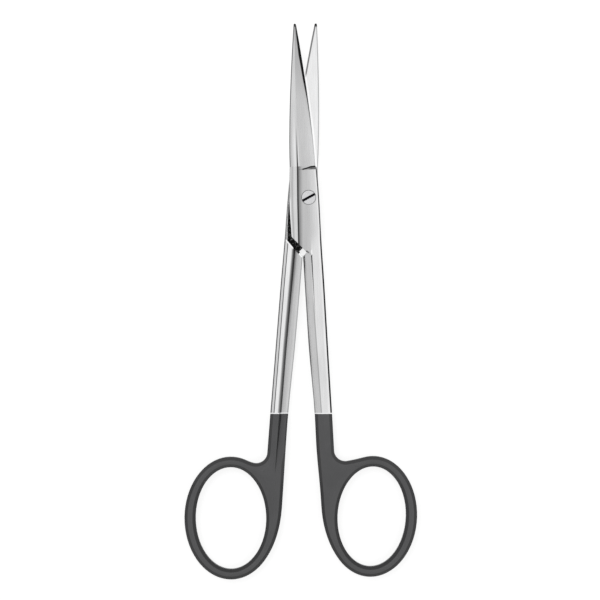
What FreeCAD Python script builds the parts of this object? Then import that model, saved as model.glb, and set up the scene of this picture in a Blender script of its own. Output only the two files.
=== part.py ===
import FreeCAD, Part
import math
import os
from dataclasses import dataclass

# Gum scissors, lying flat, in millimetres.
# The pivot axis is +Z through the origin, and z = 0 is the surface that the scissors lie on.
# +Y points to the blade tips, and the front half faces up.
# Both halves come from one drawing, made closed, with its own shank on the +X side of the centreline.
# In that drawing z = 0 is the plane in which the halves slide on each other, and +z is the outer side.

# Overall
half_thickness = 2.1
running_gap = 0.03
pivot_offset = 1.5
front_half_angle = 2.9
rear_half_angle = -4.1

# Blade, from the heel to the tip. The spine is on the -X side, the cutting edge on the +X side.
heel_height = 9.0
blade_length = 41.1
blade_root = 2.0
heel_spine = 3.5
heel_edge = 3.85
tip_spine = 0.30
tip_edge = 0.36
blade_taper_power = 1.5
ridge_share = 0.335
heel_ridge_height = 2.03
tip_ridge_height = 0.85
heel_facet_height = 0.85
tip_facet_height = 0.58
edge_bevel_end = 0.25
edge_bevel_middle = 0.80
edge_land = 0.12
back_bevel_width = 0.75
back_bevel_depth = 0.25
tip_radius = 0.38
blade_stations = [0.0, 0.14, 0.34, 0.58, 0.80, 1.0]

# Spine flank: a groove wall beside the ridge, then two narrow strips down to the spine
flank_line_share = 0.34
flank_line_height_share = 0.76
spine_height_share = 0.56
groove_depth = 0.42
groove_width = 0.42
groove_fade = 0.55

# Joint
ricasso_edge = 4.24
heel_wall_run = 1.0
joint_spine = 4.08
joint_spine_height = -3.0
spine_foot = (-3.96, -11.1)
flange_corner = (0.10, -15.6)
flange_tip = (-0.95, -16.9)
groove_lean = 0.03
shoulder_outer = (4.64, -11.9)
shoulder_slope = 1.02
joint_outer = 4.52
joint_outer_height = -3.0
joint_chamfer = 0.38

# Relief in the sliding face: along the shoulder, and up behind the rim of the outer edge
relief_depth = 0.6
relief_width = 1.65
relief_end = 0.3
relief_side = 2.4
relief_top_height = 2.0
rim_width = 0.6
rim_fall = 0.22
rim_lap = 0.06

# Shank. Its ridge stands over the lap of the two halves.
run_in_height = -26.0
run_in_start = -6.0
run_out_length = 0.4
shank_outer_top = 4.74
shank_outer_middle = 4.88
shank_outer_foot = 5.12
shank_inner_top = -0.83
shank_inner_middle = -0.62
shank_top_height = -30.0
middle_height = -44.0
lap_end_height = -63.0
handle_height = -72.0
ridge_crotch = 1.55
ridge_middle = 2.05
ridge_coat = 2.22
ridge_top_height = -17.0
lap_wall_run = 0.6
lap_ramp_end = -80.0
flange_step_depth = 0.5
flange_step_run = 0.35
flange_step_corner = (1.3, -16.7)
flange_step_end = -34.0

# Edge section of the shank and the ring: a steep chamfer, then a long gentle facet up to the ridge
side_height = 1.0
chamfer_reach = 0.9
chamfer_height = 1.70
facet_reach = 2.42

# Finger rings
ring_bar_side = 3.2
ring_bar_end = 2.95
ring_fillet = 3.2
ring_fillet_rise = 19.4
ring_fillet_turn = 97.0
ring_top_angle = -14.0
ring_foot_angle = 222.0
ring_inner_rise = 3.9

# The front half: the groove's place beside the pivot, and its ring
front_groove = 1.42
front_ring_x = 14.95
front_ring_y = -92.4
front_ring_tilt = 5.8
front_hole_width = 19.64
front_hole_length = 28.74
front_ring_inner_x = 0.63
front_handle_inner = 0.08

# The rear half. Its groove makes room for the end of the screw.
rear_groove = 3.1
rear_ring_x = 14.2
rear_ring_y = -93.45
rear_ring_tilt = 4.4
rear_hole_width = 20.28
rear_hole_length = 29.28
rear_ring_inner_x = -0.2
rear_handle_inner = -0.06

# Pivot screw
screw_shaft_diameter = 2.6
screw_head_diameter = 4.1
screw_head_height = 1.0
screw_shaft_clearance = 0.03
screw_head_clearance = 0.05
screw_seat_gap = 0.02
thread_clearance = 0.01
slot_width = 0.72
slot_depth = 0.5
slot_angle = 29.0

# Cutting shapes run past the metal by this much, and past the tip to this share of the blade
overrun = 3.0
past_tip = 1.02

up = FreeCAD.Vector(0, 0, 1)
face_level = half_thickness
lap_level = running_gap / 2
blade_tip = heel_height + blade_length


@dataclass(frozen=True)
class Ring:
    """A finger ring's place, the size of its hole, and where its inner side and its handle's
    inner edge stand."""

    x: float
    y: float
    tilt: float
    hole_width: float
    hole_length: float
    inner_x: float
    handle_inner: float

    def hole_size(self):
        """Half the hole's width and length."""
        return self.hole_width / 2, self.hole_length / 2

    def outer_size(self):
        """Half the ring's outer width and length."""
        return self.hole_width / 2 + ring_bar_side, self.hole_length / 2 + ring_bar_end

    def point(self, angle, size):
        """A plan point of one of the ring's ellipses, its angle counted clockwise from the top."""
        tilt = math.radians(self.tilt)
        along = size[1] * math.cos(math.radians(angle))
        across = size[0] * math.sin(math.radians(angle))
        return (
            self.x + along * math.sin(tilt) + across * math.cos(tilt),
            self.y + along * math.cos(tilt) - across * math.sin(tilt),
        )

    def direction(self, angle, size):
        """The unit direction of one of the ring's ellipses, going clockwise."""
        step = 0.01
        before = self.point(angle - step, size)
        after = self.point(angle + step, size)
        length = math.dist(before, after)
        return ((after[0] - before[0]) / length, (after[1] - before[1]) / length)

    def curve(self, size, side_angle):
        """One of the ring's ellipses, running from its top towards the side at the given angle."""
        top = self.point(0, size)
        side = self.point(side_angle, size)
        return Part.Ellipse(point(*top), point(*side), point(self.x, self.y))


def point(x, y, z=0.0):
    """A place or a direction."""
    return FreeCAD.Vector(x, y, z)


def ring_of_lines(corners):
    """A closed wire of straight edges."""
    return Part.makePolygon(corners + [corners[0]])


def plan_block(corners, bottom, top):
    """A block over a plan outline, between two heights."""
    face = Part.Face(ring_of_lines([point(x, y, bottom) for x, y in corners]))
    return face.extrude(point(0, 0, top - bottom))


def side_block(corners, left, right):
    """A block over an outline seen from the side, as y and z, between two places across."""
    face = Part.Face(ring_of_lines([point(left, y, z) for y, z in corners]))
    return face.extrude(point(right - left, 0, 0))


def smooth_edge(corners, start_direction, end_direction):
    """A smooth edge through plan points, with a direction at each end."""
    curve = Part.BSplineCurve()
    curve.interpolate(
        Points=[point(x, y) for x, y in corners],
        InitialTangent=point(*start_direction),
        FinalTangent=point(*end_direction),
    )
    return curve.toShape()


def blend_edge(start, start_direction, end, end_direction):
    """A smooth edge between two plan points that leaves and arrives along unit directions."""
    reach = math.dist(start, end) / 3
    curve = Part.BezierCurve()
    curve.setPoles([
        point(*start),
        point(start[0] + start_direction[0] * reach, start[1] + start_direction[1] * reach),
        point(end[0] - end_direction[0] * reach, end[1] - end_direction[1] * reach),
        point(*end),
    ])
    return curve.toShape()


def blade_taper(share):
    """How much of the heel's extra width is left at a share of the blade's length."""
    return 1 - max(share, 0) ** blade_taper_power


def spine_at(share):
    """Place of the spine across the blade."""
    return -(tip_spine + (heel_spine - tip_spine) * blade_taper(share))


def edge_at(share):
    """Place of the cutting edge across the blade."""
    return tip_edge + (heel_edge - tip_edge) * blade_taper(share)


def ridge_at(share):
    """Place of the ridge across the blade."""
    return spine_at(share) + ridge_share * (edge_at(share) - spine_at(share))


def ridge_height_at(share):
    """Height of the ridge over the sliding plane."""
    return heel_ridge_height + (tip_ridge_height - heel_ridge_height) * max(share, 0)


def bevel_width_at(share):
    """Width of the edge bevel, which is widest halfway along the blade."""
    return edge_bevel_end + (edge_bevel_middle - edge_bevel_end) * math.sin(math.pi * max(share, 0))


def facet_height_at(share):
    """Height of the main facet where it meets the edge bevel."""
    return heel_facet_height + (tip_facet_height - heel_facet_height) * max(share, 0)


def outer_edges(ring):
    """The outer outline in three lengths: down to the shoulder, to where the facets have run in,
    and to the fillet at the ring."""
    joint = smooth_edge(
        [
            (ricasso_edge, heel_height - heel_wall_run),
            (joint_outer, joint_outer_height),
            (joint_outer, shoulder_outer[1]),
        ],
        (0.05, -1), (0, -1),
    )
    upper = smooth_edge(
        [(joint_outer, shoulder_outer[1]), (shank_outer_top, run_in_height)],
        (0, -1), (0.01, -1),
    )
    lower = smooth_edge(
        [
            (shank_outer_top, run_in_height),
            (shank_outer_middle, middle_height),
            (shank_outer_foot, ring.y + ring_fillet_rise),
        ],
        (0.01, -1), (0, -1),
    )
    return joint, upper, lower


def ring_edges(ring):
    """The outline from the foot of the shank clockwise round the ring to its inner side."""
    fillet_centre = (shank_outer_foot + ring_fillet, ring.y + ring_fillet_rise)
    fillet_circle = Part.Circle(point(*fillet_centre), up, ring_fillet)
    fillet_end_angle = math.radians(180 + ring_fillet_turn)
    fillet = Part.ArcOfCircle(fillet_circle, math.pi, fillet_end_angle).toShape()
    fillet_end = (
        fillet_centre[0] + ring_fillet * math.cos(fillet_end_angle),
        fillet_centre[1] + ring_fillet * math.sin(fillet_end_angle),
    )
    fillet_direction = (-math.sin(fillet_end_angle), math.cos(fillet_end_angle))
    size = ring.outer_size()
    top = blend_edge(
        fillet_end, fillet_direction,
        ring.point(ring_top_angle, size), ring.direction(ring_top_angle, size),
    )
    ellipse = ring.curve(size, side_angle=90)
    bow = Part.ArcOfEllipse(ellipse, math.radians(ring_top_angle), math.radians(ring_foot_angle)).toShape()
    foot = blend_edge(
        ring.point(ring_foot_angle, size), ring.direction(ring_foot_angle, size),
        (ring.inner_x, ring.y + ring_inner_rise), (0, 1),
    )
    return [fillet, top, bow, foot]


def inner_edge(ring):
    """The inner outline from the ring up to the crotch."""
    return smooth_edge(
        [
            (ring.inner_x, ring.y + ring_inner_rise),
            (ring.handle_inner, handle_height),
            (ring.handle_inner, lap_end_height),
            (shank_inner_middle, middle_height),
            (shank_inner_top, shank_top_height),
            flange_tip,
        ],
        (0, 1), (0, 1),
    )


def spine_edge():
    """The spine outline of the joint, from its foot up to the heel."""
    return smooth_edge(
        [spine_foot, (-joint_spine, joint_spine_height), (spine_at(0), heel_height)],
        (0, 1), (0.07, 1),
    )


def sweep(path_edges, section):
    """A bar swept along a plan path with the metal on its right, cut to a section given as
    reach into the metal and height."""
    path = Part.Wire(path_edges)
    start = path_edges[0].valueAt(path_edges[0].FirstParameter)
    heading = path_edges[0].tangentAt(path_edges[0].FirstParameter)
    inward = point(heading.y, -heading.x)
    inward.normalize()
    corners = [start + inward * reach + up * height for reach, height in section]
    bar = Part.BRepOffsetAPI.MakePipeShell(path)
    bar.setBiNormalMode(up)
    bar.add(ring_of_lines(corners))
    bar.build()
    bar.makeSolid()
    return bar.shape()


def both_faces(bar):
    """A cutting bar for the outer face, and its mirror image for the inner face."""
    return [bar, bar.mirror(point(0, 0, 0), up)]


def edge_section():
    """What is cut away along the edge of a shank or ring, over the chamfer and the facet."""
    chamfer_rise = (chamfer_height - side_height) / chamfer_reach
    return [
        (-1, side_height - chamfer_rise),
        (chamfer_reach, chamfer_height),
        (facet_reach, face_level),
        (facet_reach, face_level + overrun),
        (-1, face_level + overrun),
    ]


def chamfer_section():
    """What is cut away along the outer edge of the joint."""
    return [
        (-1, face_level - joint_chamfer - 1),
        (joint_chamfer, face_level),
        (joint_chamfer + 1, face_level + 1),
        (-1, face_level + 1),
    ]


def rim_section():
    """What is cut away so that the rim of the joint's sliding face falls to its outer edge."""
    slope = rim_fall / rim_width
    return [
        (-1, lap_level + rim_fall + slope),
        (-1, lap_level - 1),
        (rim_width + 1, lap_level - 1),
        (rim_width + 1, lap_level - slope),
    ]


def ridge_x(y):
    """Place of the shank's ridge, and of the lap's wall under it."""
    places = [
        (ridge_top_height, ridge_crotch),
        (middle_height, ridge_middle),
        (lap_end_height, ridge_coat),
        (lap_ramp_end, ridge_coat),
    ]
    for (upper_y, upper_x), (lower_y, lower_x) in zip(places, places[1:]):
        if y >= lower_y:
            share = (upper_y - y) / (upper_y - lower_y)
            return upper_x + (lower_x - upper_x) * share
    return ridge_coat


def shoulder_y(x):
    """Height of the shoulder line at a place across."""
    return shoulder_outer[1] - (shoulder_outer[0] - x) * shoulder_slope


def lap_pocket():
    """What is cut away under the joint and along the shank so that the other half laps in.
    Its wall leans, and its floor rises to the handle's face at the end."""
    left = -joint_spine - overrun
    right = joint_outer + overrun
    levels = []
    for height in (lap_level, -face_level - overrun):
        lean = lap_wall_run * (-height / face_level - 0.5)
        corner_x = ridge_x(ridge_top_height) + lean
        wall = [(corner_x, shoulder_y(corner_x))]
        wall += [(ridge_x(y) + lean, y) for y in (middle_height, lap_end_height, lap_ramp_end)]
        outline = [(right, shoulder_y(right))] + wall
        outline += [(left, lap_ramp_end), (left, heel_height + overrun), (right, heel_height + overrun)]
        levels.append(ring_of_lines([point(x, y, height) for x, y in outline]))
    pocket = Part.makeLoft(levels, True, True)
    floor = side_block(
        [
            (heel_height + overrun, lap_level),
            (lap_end_height, lap_level),
            (lap_ramp_end, -face_level),
            (lap_ramp_end, -face_level - overrun),
            (heel_height + overrun, -face_level - overrun),
        ],
        left, right,
    )
    return pocket.common(floor)


def shoulder_relief():
    """What is cut away in the sliding face along the shoulder, and up behind the joint's rim.
    It reaches a little way into the rim's fall."""
    slant = math.hypot(1, shoulder_slope)
    rise = relief_width * slant
    outside = joint_outer + overrun
    rim = joint_outer - rim_width + rim_lap
    outline = [
        (outside, shoulder_y(outside)),
        (relief_end, shoulder_y(relief_end)),
        (
            relief_end - relief_width * shoulder_slope / slant,
            shoulder_y(relief_end) + relief_width / slant,
        ),
        (relief_side, shoulder_y(relief_side) + rise),
        (rim, relief_top_height),
        (rim, shoulder_y(rim) + rise),
        (outside, shoulder_y(outside) + rise),
    ]
    return plan_block(outline, -overrun, relief_depth)


def flange_step():
    """What is cut away on the outer face over the flange at the crotch, fading down the shank.
    Its wall leans."""
    left = -joint_spine - overrun
    step_level = face_level - flange_step_depth
    height = side_block(
        [
            (flange_corner[1] + overrun, step_level),
            (flange_step_corner[1], step_level),
            (flange_step_end, face_level),
            (flange_step_end, face_level + overrun),
            (flange_corner[1] + overrun, face_level + overrun),
        ],
        left, flange_step_corner[0] + overrun,
    )
    levels = []
    for level in (0, face_level + overrun):
        lean = (level - step_level) * flange_step_run / flange_step_depth
        outline = [
            (left, flange_corner[1] + lean),
            (flange_corner[0] + lean, flange_corner[1] + lean),
            (flange_step_corner[0] + lean, flange_step_corner[1] + lean),
            (flange_step_corner[0] + lean, flange_step_end),
            (left, flange_step_end),
        ]
        levels.append(ring_of_lines([point(x, y, level) for x, y in outline]))
    return height.common(Part.makeLoft(levels, True, True))


def heel_wall():
    """What is cut away at the top of the joint to leave its leaning heel wall."""
    top = heel_height + overrun
    return side_block(
        [
            (heel_height - heel_wall_run, face_level),
            (heel_height, heel_facet_height),
            (top, heel_facet_height),
            (top, face_level + overrun),
            (heel_height - heel_wall_run, face_level + overrun),
        ],
        -joint_spine - overrun, joint_outer + overrun,
    )


def blade_blank():
    """The blade before its spine flank is ground, from inside the joint to the tip."""
    wires = []
    for share in [-blade_root / blade_length] + blade_stations:
        y = heel_height + blade_length * share
        spine, edge, ridge = spine_at(share), edge_at(share), ridge_at(share)
        bevel = edge - bevel_width_at(share)
        facet = facet_height_at(share)
        slope = (ridge_height_at(share) - facet) / (bevel - ridge)
        back = 0.4 + 0.6 * blade_taper(share)
        wires.append(ring_of_lines([
            point(spine + back_bevel_width * back, y, lap_level),
            point(spine, y, lap_level + back_bevel_depth * back),
            point(spine, y, facet + slope * (bevel - spine)),
            point(bevel, y, facet),
            point(edge, y, lap_level + edge_land),
            point(edge, y, lap_level),
        ]))
    return Part.makeLoft(wires, True, False)


def tip_round():
    """What is cut away to leave the blade's tip round in plan."""
    centre = point((tip_edge - tip_spine) / 2, blade_tip - tip_radius, -overrun)
    block = Part.makeBox(
        2 * overrun, overrun, 2 * overrun + face_level,
        centre - point(overrun, 0),
    )
    return block.cut(Part.makeCylinder(tip_radius, 2 * overrun + face_level, centre))


def flank_cutter(groove):
    """What is ground away left of the ridge, along the whole joint and blade.
    groove is how far the ridge stands left of the centreline at the pivot."""
    places = []
    for y in (flange_tip[1] - 1, spine_foot[1], 0.0):
        places.append((y, -joint_spine, -groove + groove_lean * y, face_level, 1.0))
    for share in blade_stations + [past_tip]:
        y = heel_height + blade_length * share
        fade = 1 - groove_fade * share
        places.append((y, spine_at(share), ridge_at(share), ridge_height_at(share), fade))
    wires = []
    for y, spine, ridge, height, fade in places:
        wall = min(groove_width, 0.3 * (ridge - spine)) * fade
        drop = groove_depth * wall / groove_width
        line = spine + (ridge - wall - spine) * flank_line_share
        spine_height = height * spine_height_share
        line_height = height * flank_line_height_share
        lead = 0.5 * wall
        fall = (line_height - spine_height) / (line - spine)
        wires.append(ring_of_lines([
            point(ridge + lead, y, height + drop * lead / wall),
            point(ridge - wall, y, height - drop),
            point(line, y, line_height),
            point(spine - 1, y, spine_height - fall),
            point(spine - 1, y, face_level + overrun),
            point(ridge + lead, y, face_level + overrun),
        ]))
    return Part.makeLoft(wires, True, False)


def half_blank(groove, ring):
    """One half of the scissors, closed and not yet drilled, in the drawing's place."""
    joint, upper, lower = outer_edges(ring)
    handle = ring_edges(ring) + [inner_edge(ring)]
    top_corner = (edge_at(0), heel_height)
    outline = [joint, upper, lower] + handle
    outline += [
        Part.makeLine(point(*flange_tip), point(*flange_corner)),
        Part.makeLine(point(*flange_corner), point(*spine_foot)),
        spine_edge(),
        Part.makeLine(point(spine_at(0), heel_height), point(*top_corner)),
        Part.makeLine(point(*top_corner), point(ricasso_edge, heel_height - heel_wall_run)),
    ]
    hole = ring.curve(ring.hole_size(), side_angle=-90).toShape()
    plate = Part.Face([Part.Wire(outline), Part.Wire([hole])])
    plate.translate(point(0, 0, -face_level))
    plate = plate.extrude(point(0, 0, 2 * face_level))

    run_in = blend_edge(
        (shank_outer_top + facet_reach + joint_chamfer, run_in_start), (0, -1),
        (shank_outer_top, run_in_height), (0, -1),
    )
    run_out = Part.makeLine(point(*flange_tip), point(flange_tip[0], flange_tip[1] + run_out_length))
    for path in ([run_in, lower] + handle + [run_out], [hole]):
        for bar in both_faces(sweep(path, edge_section())):
            plate = plate.cut(bar)
    plate = plate.cut(lap_pocket()).cut(heel_wall()).cut(flange_step())
    half = plate.cut(sweep([joint, upper], chamfer_section())).fuse(blade_blank())
    half = half.cut(sweep([joint], rim_section())).cut(shoulder_relief())
    half = half.cut(flank_cutter(groove)).cut(tip_round())
    return half.removeSplitter()


def place_front(half):
    """Moves a closed half from the drawing's place to the front half's place, face up."""
    half.translate(point(-pivot_offset, 0, half_thickness))
    return half


def place_rear(half):
    """Turns a closed half over, about the lengthwise centreline, to the rear half's place."""
    half.rotate(point(0, 0, 0), point(0, 1, 0), 180)
    return place_front(half)


def upright(radius, bottom, top):
    """A round bar on the pivot axis."""
    return Part.makeCylinder(radius, top - bottom, point(0, 0, bottom))


def build_front_half():
    """The front half, drilled and counterbored for the screw, opened to its angle."""
    ring = Ring(
        front_ring_x, front_ring_y, front_ring_tilt,
        front_hole_width, front_hole_length, front_ring_inner_x, front_handle_inner,
    )
    half = place_front(half_blank(front_groove, ring))
    shaft_hole = screw_shaft_diameter / 2 + screw_shaft_clearance
    head_hole = screw_head_diameter / 2 + screw_head_clearance
    top = 2 * half_thickness
    seat = top - screw_head_height - screw_seat_gap
    half = half.cut([upright(shaft_hole, 0, top + 1), upright(head_hole, seat, top + 1)])
    half.rotate(point(0, 0, 0), up, front_half_angle)
    return half


def build_rear_half():
    """The rear half, tapped for the screw, opened to its angle."""
    ring = Ring(
        rear_ring_x, rear_ring_y, rear_ring_tilt,
        rear_hole_width, rear_hole_length, rear_ring_inner_x, rear_handle_inner,
    )
    half = place_rear(half_blank(rear_groove, ring))
    half = half.cut(upright(screw_shaft_diameter / 2 + thread_clearance, -1, 2 * half_thickness))
    half.rotate(point(0, 0, 0), up, rear_half_angle)
    return half


def build_pivot_screw():
    """The slotted screw, its head level with the front face and its end level with the back."""
    top = 2 * half_thickness
    screw = upright(screw_shaft_diameter / 2, 0, top)
    screw = screw.fuse(upright(screw_head_diameter / 2, top - screw_head_height, top))
    reach = screw_head_diameter
    slot = Part.makeBox(2 * reach, slot_width, slot_depth + 1, point(-reach, -slot_width / 2, top - slot_depth))
    slot.rotate(point(0, 0, 0), up, slot_angle)
    return screw.cut(slot).removeSplitter()


os.makedirs("parts", exist_ok=True)
nodes = {
    "front_half": build_front_half(),
    "rear_half": build_rear_half(),
    "pivot_screw": build_pivot_screw(),
}
for name, shape in nodes.items():
    box = shape.BoundBox
    print(name, shape.isValid(), len(shape.Solids), round(shape.Volume, 2), len(shape.Faces))
    print("   x", round(box.XMin, 2), round(box.XMax, 2), "y", round(box.YMin, 2), round(box.YMax, 2),
          "z", round(box.ZMin, 3), round(box.ZMax, 3))
    shape.exportStep("parts/" + name + ".step")
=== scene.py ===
import logging
import math
from dataclasses import dataclass, field
from enum import Enum

import bmesh
import bpy
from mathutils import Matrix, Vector


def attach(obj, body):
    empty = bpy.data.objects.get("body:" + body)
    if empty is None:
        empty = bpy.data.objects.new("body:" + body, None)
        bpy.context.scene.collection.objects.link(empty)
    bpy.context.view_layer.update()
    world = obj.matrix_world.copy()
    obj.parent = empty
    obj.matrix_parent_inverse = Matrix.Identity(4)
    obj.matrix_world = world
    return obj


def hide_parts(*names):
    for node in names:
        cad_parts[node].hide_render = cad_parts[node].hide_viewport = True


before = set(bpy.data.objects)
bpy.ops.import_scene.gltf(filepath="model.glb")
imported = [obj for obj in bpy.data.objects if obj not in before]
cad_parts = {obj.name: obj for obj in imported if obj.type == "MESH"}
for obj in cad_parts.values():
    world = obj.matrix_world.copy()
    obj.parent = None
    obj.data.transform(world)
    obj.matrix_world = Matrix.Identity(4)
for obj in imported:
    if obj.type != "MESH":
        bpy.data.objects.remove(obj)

log = logging.getLogger("gum_scissors")

MM = 0.001
Socket = bpy.types.NodeSocket
Colour = tuple[float, float, float]
Axes = tuple[float, float, float]
Line = tuple[tuple[float, float], ...]
Reach = tuple[float, ...]  # where a ramp starts and ends, or a band's two ends and their softness

TO_MM = (1000, 1000, 1000)
NOISE_SPAN = (0.3, 0.7)


class Half(Enum):
    """The two forgings, by the name of the CAD node that each one comes from."""

    FRONT = "front_half"
    REAR = "rear_half"


class Body(Enum):
    """The two moving bodies of the hinge."""

    FRONT = "front"
    REAR = "rear"


def select_only(piece: bpy.types.Object) -> None:
    """Deselects everything, then selects one piece and makes it active.

    Args:
        piece: The object to work on next.
    """
    bpy.ops.object.select_all(action="DESELECT")
    piece.select_set(True)
    bpy.context.view_layer.objects.active = piece


def triangles(piece: bpy.types.Object) -> int:
    """Counts the triangles of a piece.

    Args:
        piece: A mesh object.

    Returns:
        How many triangles its mesh has.
    """
    piece.data.calc_loop_triangles()
    return len(piece.data.loop_triangles)


@dataclass(frozen=True)
class Mark:
    """A tone, and the reach that it is drawn over."""

    tone: float
    reach: Reach


class NodeSheet:
    """A material's node tree, with short calls for the nodes that the finishes use."""

    def __init__(self, owner: bpy.types.Material | bpy.types.World) -> None:
        """Empties the node tree of a material or a world.

        Args:
            owner: What the tree belongs to.
        """
        self.material = owner
        owner.use_nodes = True
        self.tree = owner.node_tree
        self.tree.nodes.clear()

    def node(self, kind: str, **settings: object) -> bpy.types.Node:
        """Adds a node.

        Args:
            kind: Blender's name for the node.
            **settings: Properties to set on it.

        Returns:
            The new node.
        """
        made = self.tree.nodes.new(kind)
        for name, value in settings.items():
            setattr(made, name, value)
        return made

    def feed(self, target: Socket, source: Socket | float | Colour) -> None:
        """Links a socket to another, or sets its value.

        Args:
            target: The input socket.
            source: An output socket, a number or a colour.
        """
        if isinstance(source, bpy.types.NodeSocket):
            self.tree.links.new(source, target)
        elif isinstance(source, tuple) and target.type == "RGBA":
            target.default_value = (*source, 1.0)
        else:
            target.default_value = source

    def math(self, operation: str, first: Socket | float, second: Socket | float = 0.0) -> Socket:
        """Adds a Math node.

        Args:
            operation: Its operation, such as MULTIPLY.
            first: The first number.
            second: The second number.

        Returns:
            Its result.
        """
        made = self.node("ShaderNodeMath", operation=operation)
        self.feed(made.inputs[0], first)
        self.feed(made.inputs[1], second)
        return made.outputs[0]

    def ramp(self, value: Socket, start: float, end: float, low: float = 0.0, high: float = 1.0) -> Socket:
        """Turns a value into a soft step.

        Args:
            value: What is measured.
            start: Where the step begins.
            end: Where it ends.
            low: The result before it.
            high: The result after it.

        Returns:
            The stepped value.
        """
        made = self.node("ShaderNodeMapRange", interpolation_type="SMOOTHSTEP")
        for index, source in enumerate((value, start, end, low, high)):
            self.feed(made.inputs[index], source)
        return made.outputs[0]

    def add(self, first: Socket | float, second: Socket | float) -> Socket:
        """Adds two numbers.

        Args:
            first: The first number.
            second: The second number.

        Returns:
            Their sum.
        """
        return self.math("ADD", first, second)

    def less(self, first: Socket | float, second: Socket | float) -> Socket:
        """Takes the second value from the first.

        Args:
            first: One value.
            second: The value to take away.

        Returns:
            What is left.
        """
        return self.math("SUBTRACT", first, second)

    def most(self, first: Socket | float, second: Socket | float) -> Socket:
        """Takes the larger of two values.

        Args:
            first: One value.
            second: The other.

        Returns:
            The larger one.
        """
        return self.math("MAXIMUM", first, second)

    def both(self, first: Socket, *others: Socket | float) -> Socket:
        """Multiplies values: of shares, all must hold.

        Args:
            first: The first value.
            *others: The other values.

        Returns:
            Their product.
        """
        for other in others:
            first = self.math("MULTIPLY", first, other)
        return first

    def band(self, value: Socket, low: float, high: float, soft: float) -> Socket:
        """Tells where a value is between two limits.

        Args:
            value: What is measured.
            low: The lower limit.
            high: The upper limit.
            soft: How wide each border is.

        Returns:
            One between the limits, zero outside them.
        """
        rise = self.ramp(value, low - soft / 2, low + soft / 2)
        return self.both(rise, self.ramp(value, high + soft / 2, high - soft / 2))

    def follow(self, value: Socket, line: Line) -> Socket:
        """Reads a line of straight runs at a value.

        Args:
            value: Where it is read.
            line: Its corners as place and height, by rising place.

        Returns:
            The line's height there, level beyond its ends.
        """
        height: Socket | float = line[0][1]
        for (start, low), (end, high) in zip(line, line[1:]):
            run = self.node("ShaderNodeMapRange")
            for index, source in enumerate((value, start, end, 0.0, high - low)):
                self.feed(run.inputs[index], source)
            height = self.add(run.outputs[0], height)
        return height

    def triple(self, x: Socket, y: Socket, z: Socket) -> Socket:
        """Puts three numbers together as a vector.

        Args:
            x: The first number.
            y: The second number.
            z: The third number.

        Returns:
            The vector.
        """
        made = self.node("ShaderNodeCombineXYZ")
        for index, source in enumerate((x, y, z)):
            self.feed(made.inputs[index], source)
        return made.outputs[0]

    def mix(self, share: Socket | float, first: Socket | Colour, second: Socket | Colour) -> Socket:
        """Mixes two colours.

        Args:
            share: How much of the second shows.
            first: The first colour.
            second: The second colour.

        Returns:
            The mixed colour.
        """
        made = self.node("ShaderNodeMix", data_type="RGBA")
        self.feed(made.inputs[0], share)
        self.feed(made.inputs[6], first)
        self.feed(made.inputs[7], second)
        return made.outputs[2]

    def shade(self, colour: Socket | Colour, tone: Socket) -> Socket:
        """Makes a colour lighter or darker.

        Args:
            colour: The colour.
            tone: What it is multiplied by.

        Returns:
            The changed colour.
        """
        made = self.node("ShaderNodeVectorMath", operation="SCALE")
        self.feed(made.inputs[0], colour)
        self.feed(made.inputs["Scale"], tone)
        return made.outputs[0]

    def mix_value(self, share: Socket | float, first: Socket | float, second: Socket | float) -> Socket:
        """Mixes two numbers.

        Args:
            share: How much of the second shows.
            first: The first number.
            second: The second number.

        Returns:
            The mixed number.
        """
        made = self.node("ShaderNodeMix", data_type="FLOAT")
        self.feed(made.inputs[0], share)
        self.feed(made.inputs[2], first)
        self.feed(made.inputs[3], second)
        return made.outputs[0]

    def draw(self, tone: Socket | float, value: Socket | float, *masks: Socket) -> Socket:
        """Draws a value over a tone, where all masks hold.

        Args:
            tone: The tone so far.
            value: What is drawn.
            *masks: Where, from zero to one.

        Returns:
            The new tone.
        """
        return self.mix_value(self.both(*masks), tone, value)

    def stroke(self, tone: Socket | float, mark: Mark, value: Socket, *masks: Socket) -> Socket:
        """Draws a mark over a tone.

        Args:
            tone: The tone so far.
            mark: The mark, whose reach is a ramp of two numbers or a band of three.
            value: What the reach is measured on.
            *masks: Where else it has to hold.

        Returns:
            The new tone.
        """
        shape = self.band if len(mark.reach) == 3 else self.ramp
        return self.draw(tone, mark.tone, shape(value, *mark.reach), *masks)

    def place(self, source: Socket, scale: Axes, turn: float = 0.0, shift: Axes = (0, 0, 0)) -> Socket:
        """Scales, turns about z and shifts a vector.

        Args:
            source: The vector.
            scale: The factor along each axis.
            turn: The turn about z in degrees.
            shift: What is added last.

        Returns:
            The placed vector.
        """
        made = self.node("ShaderNodeMapping")
        self.feed(made.inputs["Vector"], source)
        made.inputs["Location"].default_value = shift
        made.inputs["Rotation"].default_value = (0.0, 0.0, math.radians(turn))
        made.inputs["Scale"].default_value = scale
        return made.outputs[0]

    def split(self, source: Socket) -> tuple[Socket, Socket, Socket]:
        """Takes a vector apart.

        Args:
            source: The vector.

        Returns:
            Its x, y and z.
        """
        made = self.node("ShaderNodeSeparateXYZ")
        self.feed(made.inputs[0], source)
        return made.outputs[0], made.outputs[1], made.outputs[2]

    def noise(self, source: Socket, scale: float, detail: float = 2.0, rough: float = 0.5) -> Socket:
        """Adds a noise pattern.

        Args:
            source: The vector that it is read at.
            scale: How fine it is.
            detail: How many finer layers it has.
            rough: How strong the finer layers are.

        Returns:
            A value about one half.
        """
        made = self.node("ShaderNodeTexNoise")
        self.feed(made.inputs["Vector"], source)
        made.inputs["Scale"].default_value = scale
        made.inputs["Detail"].default_value = detail
        made.inputs["Roughness"].default_value = rough
        return made.outputs[0]

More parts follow.
